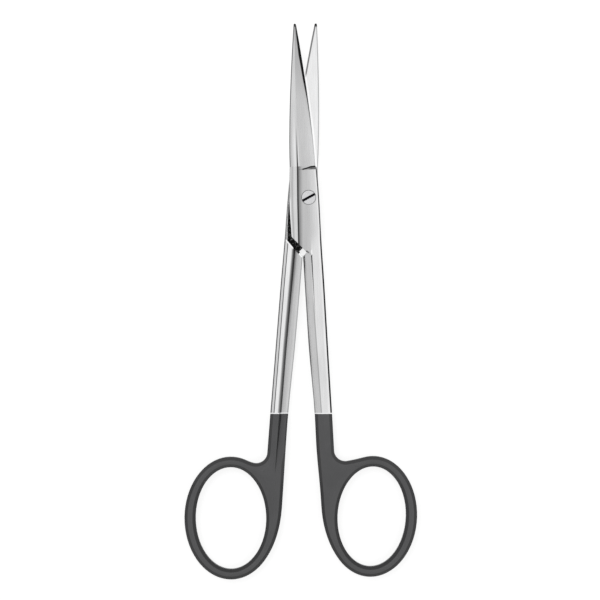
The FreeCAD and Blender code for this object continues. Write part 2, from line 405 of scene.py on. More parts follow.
    def bump(self, height: Socket, strength: float, distance: float) -> Socket:
        """Turns a height into a surface normal.

        Args:
            height: The height pattern.
            strength: How much of it shows.
            distance: The height in metres that a value of one stands for.

        Returns:
            The changed normal.
        """
        made = self.node("ShaderNodeBump")
        made.inputs["Strength"].default_value = strength
        made.inputs["Distance"].default_value = distance
        self.feed(made.inputs["Height"], height)
        return made.outputs[0]

    def surface(self, colour: Socket, metal: Socket | float, rough: Socket, normal: Socket) -> bpy.types.Node:
        """Adds the shader and the output.

        Args:
            colour: The base colour.
            metal: One for bare metal, zero for a coating.
            rough: The roughness.
            normal: The surface normal.

        Returns:
            The shader node.
        """
        shader = self.node("ShaderNodeBsdfPrincipled")
        for name, source in (
            ("Base Color", colour), ("Metallic", metal), ("Roughness", rough), ("Normal", normal),
        ):
            self.feed(shader.inputs[name], source)
        output = self.node("ShaderNodeOutputMaterial")
        self.feed(output.inputs["Surface"], shader.outputs[0])
        return shader


@dataclass(frozen=True)
class BladeDrawing:
    """The lines of one half's drawing that its finish follows, in millimetres and degrees."""

    heel: float = 9.0
    length: float = 41.1
    heel_edge: float = 3.85
    heel_ridge: float = -1.04
    tip_edge: float = 0.36
    spine_growth: float = 3.2
    ridge_growth: float = 0.96
    taper_power: float = 1.5
    level: float = 2.1
    pivot_offset: float = 1.5
    front_groove: float = 1.42
    rear_groove: float = 3.1
    groove_width: float = 0.42
    outer_line: Line = (
        (-73.0, 5.12), (-44.0, 4.88), (-26.0, 4.74), (-12.0, 4.52), (-3.0, 4.52), (8.0, 4.24), (9.0, 3.85),
    )
    inner_line: Line = ((-63.0, 0.05), (-44.0, -0.62), (-30.0, -0.83), (-17.0, -0.95))
    spine_line: Line = ((-11.0, -3.96), (-3.0, -4.08), (4.0, -3.85), (9.0, -3.5))
    lap_line: Line = ((-63.0, 2.22), (-44.0, 2.05), (-17.0, 1.55))
    face_line: Line = ((-62.0, 2.03), (-30.0, 1.32), (-17.0, 1.30))
    shoulder_height: float = -16.63
    shoulder_slope: float = 1.02
    front_turn: float = -2.9
    rear_turn: float = -4.1
    groove_spread: float = 0.51
    shank_start: float = -17.0
    least_flank: float = 0.05
    turn_over: Reach = (-0.12, 0.12)

    def place(self, sheet: NodeSheet, source: Socket, half: Half) -> Socket:
        """Brings a point of a half into the drawing's own place.

        Args:
            sheet: The material.
            source: The point in metres.
            half: Which half it is on.

        Returns:
            The point in the drawing, in millimetres.
        """
        if half is Half.FRONT:
            return sheet.place(source, TO_MM, self.front_turn, (self.pivot_offset, 0, -self.level))
        return sheet.place(source, (-1000, 1000, -1000), self.rear_turn, (-self.pivot_offset, 0, self.level))

    def direction(self, sheet: NodeSheet, source: Socket, half: Half) -> Socket:
        """Brings a direction of a half into the drawing's own place.

        Args:
            sheet: The material.
            source: The direction.
            half: Which half it is on.

        Returns:
            The direction in the drawing.
        """
        if half is Half.FRONT:
            return sheet.place(source, (1, 1, 1), self.front_turn)
        return sheet.place(source, (-1, 1, -1), self.rear_turn)


class Spot:
    """A point of a half in its drawing, and how far it is from the lines round it, as sockets."""

    def __init__(
        self, sheet: NodeSheet, drawing: BladeDrawing, half: Half, point: Socket, normal: Socket,
    ) -> None:
        """Measures a point.

        Args:
            sheet: The material.
            drawing: The lines to measure from.
            half: Which half it is on.
            point: Object coordinates.
            normal: The object's surface normal.
        """
        self.x, self.y, self.z = sheet.split(drawing.place(sheet, point, half))
        _nx, _ny, self.nz = sheet.split(drawing.direction(sheet, normal, half))
        self.slope = sheet.math("ABSOLUTE", self.nz)
        share = sheet.math("DIVIDE", sheet.less(self.y, drawing.heel), drawing.length)
        share = sheet.most(share, 0.0)
        grown = sheet.math("POWER", share, drawing.taper_power)
        groove = drawing.front_groove if half is Half.FRONT else drawing.rear_groove
        ridge_line = (
            (drawing.shank_start, -groove - drawing.groove_spread),
            (0.0, -groove),
            (drawing.heel, drawing.heel_ridge),
        )
        edge = sheet.add(drawing.heel_edge, sheet.both(grown, drawing.tip_edge - drawing.heel_edge))
        spine = sheet.add(sheet.follow(self.y, drawing.spine_line), sheet.both(grown, drawing.spine_growth))
        ridge = sheet.add(sheet.follow(self.y, ridge_line), sheet.both(grown, drawing.ridge_growth))
        self.from_edge = sheet.less(edge, self.x)
        self.from_spine = sheet.less(self.x, spine)
        self.from_ridge = sheet.less(self.x, ridge)
        foot = sheet.less(sheet.less(ridge, spine), drawing.groove_width)
        self.flank = sheet.math("DIVIDE", self.from_spine, sheet.most(foot, drawing.least_flank))
        self.from_outer = sheet.less(sheet.follow(self.y, drawing.outer_line), self.x)
        self.from_inner = sheet.less(self.x, sheet.follow(self.y, drawing.inner_line))
        self.from_lap = sheet.less(self.x, sheet.follow(self.y, drawing.lap_line))
        self.from_face_line = sheet.less(self.x, sheet.follow(self.y, drawing.face_line))
        shoulder = sheet.add(sheet.both(self.x, drawing.shoulder_slope), drawing.shoulder_height)
        slant = math.hypot(1.0, drawing.shoulder_slope)
        self.over_shoulder = sheet.math("DIVIDE", sheet.less(self.y, shoulder), slant)
        self.outer_side = sheet.ramp(self.nz, *drawing.turn_over)


@dataclass(frozen=True)
class HandleCoat:
    """The satin black coating of the handles, with painted shade on its steep sides and along its outlines.
    """

    line: float = -0.0621
    colour: Colour = (0.062, 0.062, 0.064)
    # near-black painted shade, drawn on steep faces and along the outer and inner outlines
    painted_edge_shade: Colour = (0.008, 0.008, 0.009)
    roughness: Reach = (0.38, 0.47)
    grain: float = 2.6
    drawing: BladeDrawing = field(default_factory=BladeDrawing)
    bump_strength: float = 0.10
    bump_height: float = 0.00002
    cloud_scale: Reach = (160, 160, 160)
    cloud_gain: Reach = (0.94, 1.06)
    steep: Reach = (0.95, 0.80)
    side_dark: float = 0.75
    ring_start: Reach = (-0.080, -0.083)
    shank_end: Reach = (-0.073, -0.070)
    outer_line: Reach = (0.46, 0.30)
    inner_line: Reach = (0.36, 0.20)

    def build(self, half: Half) -> bpy.types.Material:
        """Makes the finish for one handle.

        Args:
            half: Which half it is for.

        Returns:
            The material.
        """
        sheet = NodeSheet(bpy.data.materials.new(half.value + "_black_coat"))
        source = sheet.node("ShaderNodeTexCoord")
        point = source.outputs["Object"]
        _nx, _ny, nz = sheet.split(source.outputs["Normal"])
        _x, y, _z = sheet.split(point)
        grain = sheet.noise(sheet.place(point, TO_MM), self.grain, 3.0, 0.6)
        clouds = sheet.noise(sheet.place(point, self.cloud_scale), 1.0, 2.0, 0.5)
        steep = sheet.ramp(sheet.math("ABSOLUTE", nz), *self.steep)
        on_ring = sheet.ramp(y, *self.ring_start)
        spot = Spot(sheet, self.drawing, half, point, source.outputs["Normal"])
        # painted shade: the outlines along the shank's edges and the steep faces turn near-black
        outer = sheet.ramp(spot.from_outer, *self.outer_line)
        sides = sheet.most(outer, sheet.ramp(spot.from_inner, *self.inner_line))
        sides = sheet.both(sides, sheet.ramp(y, *self.shank_end))
        dark = sheet.most(sides, sheet.both(steep, sheet.mix_value(on_ring, self.side_dark, 1.0)))
        black = sheet.mix(dark, self.colour, self.painted_edge_shade)
        black = sheet.shade(black, sheet.ramp(clouds, *NOISE_SPAN, *self.cloud_gain))
        rough = sheet.ramp(grain, *NOISE_SPAN, *self.roughness)
        sheet.surface(black, 0.0, rough, sheet.bump(grain, self.bump_strength, self.bump_height))
        return sheet.material


@dataclass(frozen=True)
class ShankTones:
    """How bright each ground strip of the shanks is painted: painted reflections and highlights on the
    strips, painted shade along walls, edges and outlines.
    """

    # Painted light: the strip tones stand in for reflections; outer_rim, line_rim, lap_chamfer, lap_rim and
    # shoulder_glint are painted highlights; face_line, the outlines, lap_border, lap_line, lap_shadow,
    # lap_fall, side and wall are painted shade.
    inner_strip: float = 0.545
    outer_strip: float = 0.73
    outer_rim: Mark = Mark(0.88, (1.3, 0.4))
    face_line: Mark = Mark(0.40, (-0.16, 0.16, 0.10))
    outline: Mark = Mark(0.02, (0.52, 0.40))
    inner_outline: Mark = Mark(0.22, (0.36, 0.26))
    line_rim: Mark = Mark(0.90, (0.12, 0.42, 0.10))
    lap_chamfer: Mark = Mark(0.64, (1.1, 0.9))
    lap_border: Mark = Mark(0.13, (0.90, 1.16, 0.08))
    lap_line: Mark = Mark(0.015, (-0.26, -0.02, 0.08))
    lap_facet: float = 0.82
    lap_shadow: float = 0.20
    lap_fall: Line = ((-46.0, 0.46), (-34.0, 0.36), (-22.0, 0.20))
    lap_strip: float = 0.55
    lap_rim: Mark = Mark(0.63, (1.2, 0.5))
    lap_outline: Mark = Mark(0.10, (0.36, 0.26))
    lap_inner_outline: Mark = Mark(0.40, (0.32, 0.22))
    shoulder_glint: Mark = Mark(0.93, (-0.36, -0.02, 0.12))
    side: float = 0.42
    wall: float = 0.010
    wall_light: float = 0.16
    wall_reach: Reach = (1.0, 1.8)
    strip_change: Reach = (-0.12, 0.12)
    face_line_start: Reach = (-27.0, -33.0)
    line_rim_start: Reach = (-30.0, -20.0)
    lap_fall_reach: Reach = (-0.30, -1.20)
    lap_facet_reach: Reach = (0.35, 0.95)
    lap_step: Reach = (0.0, 0.1)
    lap_line_start: Reach = (-24.0, -32.0)
    glint_side: Reach = (0.2, 0.5)
    inside_outer: Reach = (0.45, 0.55)
    inside_inner: Reach = (0.35, 0.45)
    leaning: Reach = (0.74, 0.66)
    upright: Reach = (0.30, 0.15)

    def face(self, sheet: NodeSheet, spot: Spot) -> Socket:
        """Gives the strips on the outer face, as painted reflections, painted highlights along the rims and
        painted dark lines.

        Args:
            sheet: The material.
            spot: The point.

        Returns:
            The tone.
        """
        tone = sheet.ramp(spot.from_face_line, *self.strip_change, self.inner_strip, self.outer_strip)
        tone = sheet.stroke(tone, self.outer_rim, spot.from_outer)
        lower, upper = sheet.ramp(spot.y, *self.face_line_start), sheet.ramp(spot.y, *self.line_rim_start)
        tone = sheet.stroke(tone, self.face_line, spot.from_face_line, lower)
        tone = sheet.stroke(tone, self.line_rim, spot.from_face_line, upper)
        tone = sheet.stroke(tone, self.inner_outline, spot.from_inner)
        return sheet.stroke(tone, self.outline, spot.from_outer)

    def lap(self, sheet: NodeSheet, spot: Spot) -> Socket:
        """Gives the strips on the side that laps the other half, as painted reflections and highlights, with
        painted shade beside the lap wall.

        Args:
            sheet: The material.
            spot: The point.

        Returns:
            The tone.
        """
        fall = sheet.follow(spot.y, self.lap_fall)
        strip = sheet.ramp(spot.from_lap, *self.lap_fall_reach, fall, self.lap_strip)
        strip = sheet.stroke(strip, self.lap_rim, spot.from_inner)
        strip = sheet.stroke(strip, self.lap_inner_outline, spot.from_inner)
        facet = sheet.ramp(spot.from_lap, *self.lap_facet_reach, self.lap_shadow, self.lap_facet)
        on_facet = sheet.ramp(spot.from_lap, *self.lap_step)
        tone = sheet.mix_value(on_facet, strip, facet)
        tone = sheet.stroke(tone, self.lap_chamfer, spot.from_outer, on_facet)
        tone = sheet.stroke(tone, self.lap_border, spot.from_outer)
        tone = sheet.stroke(tone, self.lap_line, spot.from_lap, sheet.ramp(spot.y, *self.lap_line_start))
        beside = sheet.ramp(spot.from_lap, *self.glint_side)
        tone = sheet.stroke(tone, self.shoulder_glint, spot.over_shoulder, beside)
        return sheet.stroke(tone, self.lap_outline, spot.from_outer)

    def tone(self, sheet: NodeSheet, spot: Spot) -> Socket:
        """Gives the tone at a point of the shank, with painted shade on its leaning walls and steep sides.

        Args:
            sheet: The material.
            spot: The point.

        Returns:
            The tone.
        """
        tone = sheet.mix_value(spot.outer_side, self.lap(sheet, spot), self.face(sheet, spot))
        inside = sheet.ramp(spot.from_outer, *self.inside_outer)
        inside = sheet.both(inside, sheet.ramp(spot.from_inner, *self.inside_inner))
        # painted shade on the leaning walls, black at the foot and dark grey higher up
        depth = sheet.math("ABSOLUTE", spot.z)
        wall = sheet.ramp(depth, *self.wall_reach, self.wall, self.wall_light)
        tone = sheet.draw(tone, wall, sheet.ramp(spot.slope, *self.leaning), inside)
        # painted shade on the steep outer sides
        outside = sheet.less(1.0, inside)
        return sheet.draw(tone, self.side, sheet.ramp(spot.slope, *self.upright), outside)


@dataclass(frozen=True)
class JointTones:
    """How bright the joint's faces are painted, round the groove and in the relief: painted reflections and
    highlights, and painted shade and shadow in the groove, the relief and beside the other half.
    """

    # Painted light: plate, plate_gain, flank and sliding are painted reflections; plate_rim, rim, rim_border
    # and end_glint are painted highlights; shadow, groove, chamfer, the outlines, side, relief and heel are
    # painted shade and shadow.
    plate: float = 0.53
    plate_gain: float = 0.16
    plate_rim: Mark = Mark(0.84, (0.85, 0.55))
    shadow: float = 0.25
    groove: Mark = Mark(0.05, (-0.42, 0.04, 0.10))
    flank: Line = ((0.0, 0.96), (0.12, 0.72), (0.34, 0.43), (0.60, 0.68), (1.0, 0.66))
    chamfer: Mark = Mark(0.10, (0.42, 0.36))
    sliding: float = 0.62
    rim: Reach = (0.34, 0.52)
    rim_border: Mark = Mark(0.88, (0.62, 0.84, 0.08))
    rim_outline: Mark = Mark(0.16, (0.28, 0.18))
    relief: float = 0.006
    relief_floor: Reach = (0.3, 0.9, 0.05)
    relief_wall: Reach = (0.62, 0.58)
    side: float = 0.42
    end_glint: float = 1.0
    flank_outline: Mark = Mark(0.36, (0.26, 0.16))
    rim_width: Line = ((-13.0, 0.76), (-9.0, 0.62), (-5.0, 0.44), (1.0, 0.36))
    heel: Line = ((0.2, 0.50), (1.6, 0.42), (2.6, 0.17), (3.9, 0.20))
    heel_line: Line = ((0.2, 8.10), (1.6, 8.45), (2.4, 8.74), (3.9, 8.86))
    # painted sparkle highlights in the relief's painted shade, from a noise pattern that also varies the
    # rim's painted highlight
    painted_sparkle: float = 0.16
    sparkle_size: float = 2.3
    sparkle_span: Reach = (0.35, 0.65)
    sparkle_peaks: Reach = (0.50, 0.80)
    shadow_reach: Reach = (0.0, 1.3)
    gain_reach: Reach = (0.6, 3.6)
    groove_foot: Reach = (-0.45, -0.35)
    flank_outline_start: Reach = (-1.0, 1.0)
    chamfer_slope: Reach = (0.95, 0.85)
    rim_end: Reach = (0.72, 0.62)
    rim_foot: Reach = (0.0, 0.10)
    glint_x: Reach = (-2.2, 0.30, 0.10)
    glint_y: Reach = (-17.2, -14.3, 0.10)
    shaded_height: Reach = (1.5, 2.3, 0.20)
    shaded_x: Reach = (-1.0, 2.6, 0.10)
    beside_y: Reach = (-13.0, 1.2, 0.20)
    beside_reach: Reach = (0.0, 1.2, 0.10)
    relief_side: Reach = (0.25, 0.35)
    upright: Reach = (0.30, 0.15)
    step_slope: Reach = (0.80, 0.72)
    step_start: Reach = (-14.4, -14.7)
    step_side: Reach = (0.5, 0.7)
    heel_start: Reach = (0.9, 1.4)
    heel_foot: Reach = (7.90, 8.02)
    heel_head: Reach = (0.10, 0.0)
    heel_line_reach: Reach = (-0.20, 0.24, 0.10)

    def face(self, sheet: NodeSheet, spot: Spot) -> Socket:
        """Gives the outer face, with a painted shadow beside the groove, painted highlights along its rim and
        painted dark lines.

        Args:
            sheet: The material.
            spot: The point.

        Returns:
            The tone.
        """
        plate = sheet.ramp(spot.from_ridge, *self.shadow_reach, self.shadow, self.plate)
        plate = sheet.add(plate, sheet.ramp(spot.x, *self.gain_reach, 0.0, self.plate_gain))
        plate = sheet.stroke(plate, self.plate_rim, spot.from_outer)
        flank = sheet.follow(spot.flank, self.flank)
        tone = sheet.mix_value(sheet.ramp(spot.from_ridge, *self.groove_foot), flank, plate)
        tone = sheet.stroke(tone, self.groove, spot.from_ridge)
        upper = sheet.ramp(spot.y, *self.flank_outline_start)
        tone = sheet.stroke(tone, self.flank_outline, spot.from_spine, upper)
        return sheet.stroke(tone, self.chamfer, spot.from_outer, sheet.ramp(spot.slope, *self.chamfer_slope))

    def slide(self, sheet: NodeSheet, spot: Spot) -> Socket:
        """Gives the sliding face, its rim and the relief: painted highlights on the rim, and painted shadow
        in the relief and beside the other half.

        Args:
            sheet: The material.
            spot: The point.

        Returns:
            The tone.
        """
        sparkle_pattern = sheet.noise(sheet.triple(spot.x, spot.y, spot.z), self.sparkle_size, 2.0, 0.6)
        rim = sheet.ramp(sparkle_pattern, *self.sparkle_span, *self.rim)
        tone = sheet.mix_value(sheet.ramp(spot.from_outer, *self.rim_end), self.sliding, rim)
        tone = sheet.stroke(tone, self.rim_border, spot.from_outer)
        # painted highlight at the end of the shoulder
        glint = sheet.both(sheet.band(spot.x, *self.glint_x), sheet.band(spot.y, *self.glint_y))
        tone = sheet.draw(tone, self.end_glint, glint)
        # painted shade in the relief, with faint painted sparkles
        black = sheet.ramp(sparkle_pattern, *self.sparkle_peaks, self.relief, self.painted_sparkle)
        # painted shadow just over the shoulder
        shaded = sheet.band(spot.over_shoulder, *self.shaded_height)
        shaded = sheet.both(shaded, sheet.band(spot.x, *self.shaded_x))
        deep = sheet.most(sheet.band(spot.z, *self.relief_floor), shaded)
        inside = sheet.less(spot.from_outer, sheet.follow(spot.y, self.rim_width))
        # painted shadow on the lap floor inside the rim, beside the other half's spine edge
        beside = sheet.both(sheet.band(spot.y, *self.beside_y), sheet.band(inside, *self.beside_reach))
        deep = sheet.most(sheet.both(deep, sheet.ramp(inside, *self.rim_foot)), beside)
        tone = sheet.draw(tone, black, deep)
        return sheet.stroke(tone, self.rim_outline, spot.from_outer)

    def tone(self, sheet: NodeSheet, spot: Spot) -> Socket:
        """Gives the tone at a point of the joint, with painted shade on its steep sides, the relief's walls
        and the flange step.

        Args:
            sheet: The material.
            spot: The point.

        Returns:
            The tone.
        """
        tone = sheet.mix_value(spot.outer_side, self.slide(sheet, spot), self.face(sheet, spot))
        # painted shade on steep sides, on the relief's walls and on the flange step
        upright = sheet.ramp(spot.slope, *self.upright)
        tone = sheet.draw(tone, self.side, upright)
        low = sheet.ramp(spot.z, *self.relief_wall)
        tone = sheet.draw(tone, self.relief, upright, low, sheet.ramp(spot.from_outer, *self.relief_side))
        step = sheet.both(spot.outer_side, sheet.ramp(spot.slope, *self.step_slope))
        step = sheet.both(step, sheet.ramp(spot.y, *self.step_start))
        return sheet.draw(tone, self.relief, step, sheet.ramp(spot.from_outer, *self.step_side))

    def heel_shadow(self, sheet: NodeSheet, spot: Spot, tone: Socket) -> Socket:
        """Draws the painted shadow along the top of the heel wall and on the wall below it.

        Args:
            sheet: The material.
            spot: The point.
            tone: The tone without the shadow.

        Returns:
            The tone with it.
        """
        over = sheet.less(spot.y, sheet.follow(spot.x, self.heel_line))
        reach = sheet.both(sheet.ramp(spot.from_ridge, *self.heel_start), spot.outer_side)
        wall = sheet.both(sheet.ramp(spot.y, *self.heel_foot), sheet.ramp(over, *self.heel_head), reach)
        tone = sheet.draw(tone, sheet.follow(spot.x, self.heel), wall)
        line = sheet.both(sheet.band(over, *self.heel_line_reach), reach)
        return sheet.draw(tone, self.relief, line)


@dataclass(frozen=True)
class BladeTones:
    """How bright the blade's faces are painted, and where the edge bevel turns dark: painted reflections and
    highlights, and painted shade on the groove, outlines and edge bevel.
    """

    # Painted light: facet, facet_gain, flank, flank_middle and slide are painted reflections; groove_rim is a
    # painted highlight; groove, outline, bevel, slide_line and slide_outline are painted shade.
    facet: Line = ((9.0, 0.57), (28.0, 0.55), (40.0, 0.46), (50.0, 0.42))
    facet_gain: float = 0.08
    groove: Mark = Mark(0.05, (-0.38, 0.02, 0.10))
    groove_share: Line = ((9.0, 1.0), (14.0, 0.65), (21.0, 0.0))
    groove_rim: Mark = Mark(0.78, (0.42, 0.28))
    flank: Line = ((0.0, 0.60), (0.34, 0.54), (0.50, 0.66), (0.85, 0.80), (1.0, 0.66))
    flank_middle: Mark = Mark(0.64, (16.0, 28.0))
    outline: Mark = Mark(0.15, (0.34, 0.22))
    tip: Mark = Mark(0.05, (49.0, 49.4))
    bevel: Mark = Mark(0.012, (-0.06, 0.06))
    bevel_width: Line = (
        (9.0, 0.16), (22.0, 0.26), (28.0, 0.34), (34.0, 0.66), (41.0, 0.80), (46.0, 0.58), (50.0, 0.32),
    )
    bevel_share: Line = ((9.0, 0.10), (15.0, 0.15), (20.0, 0.50), (27.0, 0.85), (33.0, 1.0))
    slide: float = 0.84
    # painted highlight on the sliding face, along the line where the other blade's edge crosses it at rest
    crossing_highlight: Mark = Mark(1.0, (-0.55, 0.0, 0.12))
    crossing_highlight_line: Line = ((9.2, -2.74), (20.1, -0.92), (34.8, 2.18))
    slide_line: float = 0.22
    slide_line_reach: Reach = (0.52, 0.40)
    slide_outline: Mark = Mark(0.46, (0.36, 0.24))
    gain_reach: Reach = (2.6, 0.2)
    gain_end: Reach = (34.0, 20.0)
    ridge_change: Reach = (-0.12, 0.02)
    crossing_highlight_end: Reach = (36.0, 34.0)

    def face(self, sheet: NodeSheet, spot: Spot) -> Socket:
        """Gives the outer face, as painted reflections with painted dark lines and a painted dark edge bevel.

        Args:
            sheet: The material.
            spot: The point.

        Returns:
            The tone.
        """
        facet = sheet.follow(spot.y, self.facet)
        gain = sheet.ramp(spot.from_edge, *self.gain_reach, 0.0, self.facet_gain)
        facet = sheet.add(facet, sheet.both(gain, sheet.ramp(spot.y, *self.gain_end)))
        groove = sheet.follow(spot.y, self.groove_share)
        facet = sheet.stroke(facet, self.groove_rim, spot.from_ridge, groove)
        flank = sheet.follow(spot.flank, self.flank)
        flank = sheet.stroke(flank, self.flank_middle, spot.y)
        tone = sheet.mix_value(sheet.ramp(spot.from_ridge, *self.ridge_change), flank, facet)
        tone = sheet.stroke(tone, self.groove, spot.from_ridge, groove)
        tone = sheet.stroke(tone, self.outline, spot.from_spine)
        reach = sheet.less(sheet.follow(spot.y, self.bevel_width), spot.from_edge)
        return sheet.stroke(tone, self.bevel, reach, sheet.follow(spot.y, self.bevel_share))

    def tone(self, sheet: NodeSheet, spot: Spot) -> Socket:
        """Gives the tone at a point of the blade, with painted reflections and shade on the sliding face.

        Args:
            sheet: The material.
            spot: The point.

        Returns:
            The tone.
        """
        line = sheet.ramp(spot.from_edge, *self.slide_line_reach)
        slide = sheet.mix_value(line, self.slide, self.slide_line)
        slide = sheet.stroke(slide, self.slide_outline, spot.from_spine)
        # painted highlight along the crossing line
        from_crossing_highlight = sheet.less(spot.x, sheet.follow(spot.y, self.crossing_highlight_line))
        slide = sheet.stroke(slide, self.crossing_highlight, from_crossing_highlight, sheet.ramp(spot.y, *self.crossing_highlight_end))
        tone = sheet.draw(slide, self.face(sheet, spot), spot.outer_side)
        return sheet.stroke(tone, self.tip, spot.y)


@dataclass(frozen=True)
class GroundSteel:
    """The satin ground steel of blades, joint and shanks, with each strip's brightness painted as its
    reflection and shade.
    """

    tint: Colour = (0.995, 0.995, 1.0)
    roughness: Reach = (0.25, 0.37)
    specular: float = 0.10
    coat_line: float = -0.0621
    # painted highlight: a bright line on the steel just above the coat's line
    coat_edge_highlight: float = 0.88
    coat_edge_highlight_reach: Reach = (0.00036, 0.00022)
    shank: ShankTones = field(default_factory=ShankTones)
    joint: JointTones = field(default_factory=JointTones)
    blade: BladeTones = field(default_factory=BladeTones)
    drawing: BladeDrawing = field(default_factory=BladeDrawing)
    smooth_side: Reach = (0.0, 0.5)
    crisp_change: Reach = (0.04, -0.04)
    smooth_change: Reach = (3.2, -1.5)
    blade_start: Reach = (8.96, 9.06)
    streak_scale: Reach = (5200, 110, 5200)
    streak_gain: Reach = (-0.04, 0.04)
    fine_scale: Reach = (21000, 500, 21000)
    fine_span: Reach = (0.25, 0.75)
    cloud_scale: Reach = (260, 90, 260)
    cloud_gain: Reach = (0.97, 1.03)
    upright: Reach = (0.72, 0.60)
    unlit: Reach = (0.10, 0.03)
    bump_strength: float = 0.10
    bump_height: float = 0.00002

    def build(self, half: Half) -> bpy.types.Material:
        """Makes the finish for one half.

        Args:
            half: Which half it is for.

        Returns:
            The material.
        """
        sheet = NodeSheet(bpy.data.materials.new(half.value + "_ground_steel"))
        source = sheet.node("ShaderNodeTexCoord")
        point, normal = source.outputs["Object"], source.outputs["Normal"]
        spot = Spot(sheet, self.drawing, half, point, normal)
        smooth = sheet.both(spot.outer_side, sheet.ramp(spot.from_face_line, *self.smooth_side))
        crisp = sheet.ramp(spot.over_shoulder, *self.crisp_change)
        on_shank = sheet.mix_value(smooth, crisp, sheet.ramp(spot.over_shoulder, *self.smooth_change))
        tone = sheet.mix_value(on_shank, self.joint.tone(sheet, spot), self.shank.tone(sheet, spot))
        tone = sheet.draw(tone, self.blade.tone(sheet, spot), sheet.ramp(spot.y, *self.blade_start))
        tone = self.joint.heel_shadow(sheet, spot, tone)
        _x, height, _z = sheet.split(point)
        # painted highlight along the coat's edge
        coat_edge_highlight_mask = sheet.ramp(height, *(self.coat_line + rise for rise in self.coat_edge_highlight_reach))
        tone = sheet.draw(tone, self.coat_edge_highlight, coat_edge_highlight_mask)

        streaks = sheet.noise(sheet.place(point, self.streak_scale), 1.0, 3.0, 0.6)
        fine = sheet.noise(sheet.place(point, self.fine_scale), 1.0, 2.0, 0.5)
        clouds = sheet.noise(sheet.place(point, self.cloud_scale), 1.0, 2.0, 0.5)
        wear = sheet.ramp(streaks, *NOISE_SPAN, *self.streak_gain)
        wear = sheet.add(wear, sheet.ramp(clouds, *NOISE_SPAN, *self.cloud_gain))
        colour = sheet.shade(self.tint, sheet.both(tone, wear))
        # on steep faces whose painted shade is near black the steel is made non-metal, so that the painted
        # shade stays dark
        upright = sheet.ramp(spot.slope, *self.upright)
        dark = sheet.ramp(tone, *self.unlit)
        metal = sheet.less(1.0, sheet.both(upright, dark))
        rough = sheet.ramp(fine, *self.fine_span, *self.roughness)
        relief = sheet.bump(sheet.add(streaks, fine), self.bump_strength, self.bump_height)
        shader = sheet.surface(colour, metal, rough, relief)
        shader.inputs["Specular IOR Level"].default_value = self.specular
        return sheet.material


@dataclass
class ScissorHalf:
    """One forging: blade, joint, shank and finger ring."""

    half: Half
    body: Body
    merge_distance: float = 0.000002
    edge_round: float = 0.00004
    sharp_angle: float = 20.0
    smooth_angle: float = 14.0
    steel: GroundSteel = field(default_factory=GroundSteel)
    coat: HandleCoat = field(default_factory=HandleCoat)
    dissolve_angle: float = 0.2
    room: float = 4.0

    def copy_node(self) -> bpy.types.Object:
        """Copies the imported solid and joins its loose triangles.

        Returns:
            The new piece.
        """
        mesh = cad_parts[self.half.value].data.copy()
        mesh.name = self.half.value + "_finished"
        mesh.materials.clear()
        piece = bpy.data.objects.new(mesh.name, mesh)
        bpy.context.scene.collection.objects.link(piece)
        select_only(piece)
        bpy.ops.mesh.customdata_custom_splitnormals_clear()
        bpy.ops.object.mode_set(mode="EDIT")
        bpy.ops.mesh.select_all(action="SELECT")
        bpy.ops.mesh.remove_doubles(threshold=self.merge_distance)
        bpy.ops.mesh.dissolve_limited(angle_limit=math.radians(self.dissolve_angle))
        bpy.ops.object.mode_set(mode="OBJECT")
        return piece

    def mark_sharp_edges(self, piece: bpy.types.Object) -> None:
        """Marks the sharp edges that have room to be rounded, with no short edge at their ends.

        Args:
            piece: The piece to work on.
        """
        form = bmesh.new()
        form.from_mesh(piece.data)
        weight = form.edges.layers.float.new("bevel_weight_edge")
        cramped = set()
        for edge in form.edges:
            if edge.calc_length() < self.room * self.edge_round:
                cramped.update(edge.verts)
        for edge in form.edges:
            sharp = len(edge.link_faces) == 2 and edge.calc_face_angle() > math.radians(self.sharp_angle)
            edge[weight] = float(sharp and not cramped.intersection(edge.verts))
        form.to_mesh(piece.data)
        form.free()

    def round_edges(self, piece: bpy.types.Object) -> None:
        """Breaks the sharp edges by a hair, as a polishing wheel does.

        Args:
            piece: The piece to work on.
        """
        self.mark_sharp_edges(piece)
        bevel = piece.modifiers.new("broken_edges", "BEVEL")
        bevel.width = self.edge_round
        bevel.segments = 2
        bevel.limit_method = "WEIGHT"
        bevel.use_clamp_overlap = False
        bpy.ops.object.modifier_apply(modifier=bevel.name)
        bpy.ops.object.shade_smooth_by_angle(angle=math.radians(self.smooth_angle))

    def dress(self, piece: bpy.types.Object) -> None:
        """Parts the handle from the steel along the coating's line, and gives each its finish.

        Args:
            piece: The piece to work on.
        """
        bpy.ops.object.mode_set(mode="EDIT")
        bpy.ops.mesh.select_all(action="SELECT")
        bpy.ops.mesh.bisect(plane_co=(0, self.coat.line, 0), plane_no=(0, 1, 0))
        bpy.ops.object.mode_set(mode="OBJECT")
        piece.data.materials.append(self.steel.build(self.half))
        piece.data.materials.append(self.coat.build(self.half))
        for face in piece.data.polygons:
            face.material_index = int(face.center.y < self.coat.line)

    def build(self) -> bpy.types.Object:
        """Makes the piece, gives it its finishes and sets it on its body.

        Returns:
            The finished piece.
        """
        piece = self.copy_node()
        self.round_edges(piece)
        self.dress(piece)
        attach(piece, self.body.value)
        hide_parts(self.half.value)
        return piece


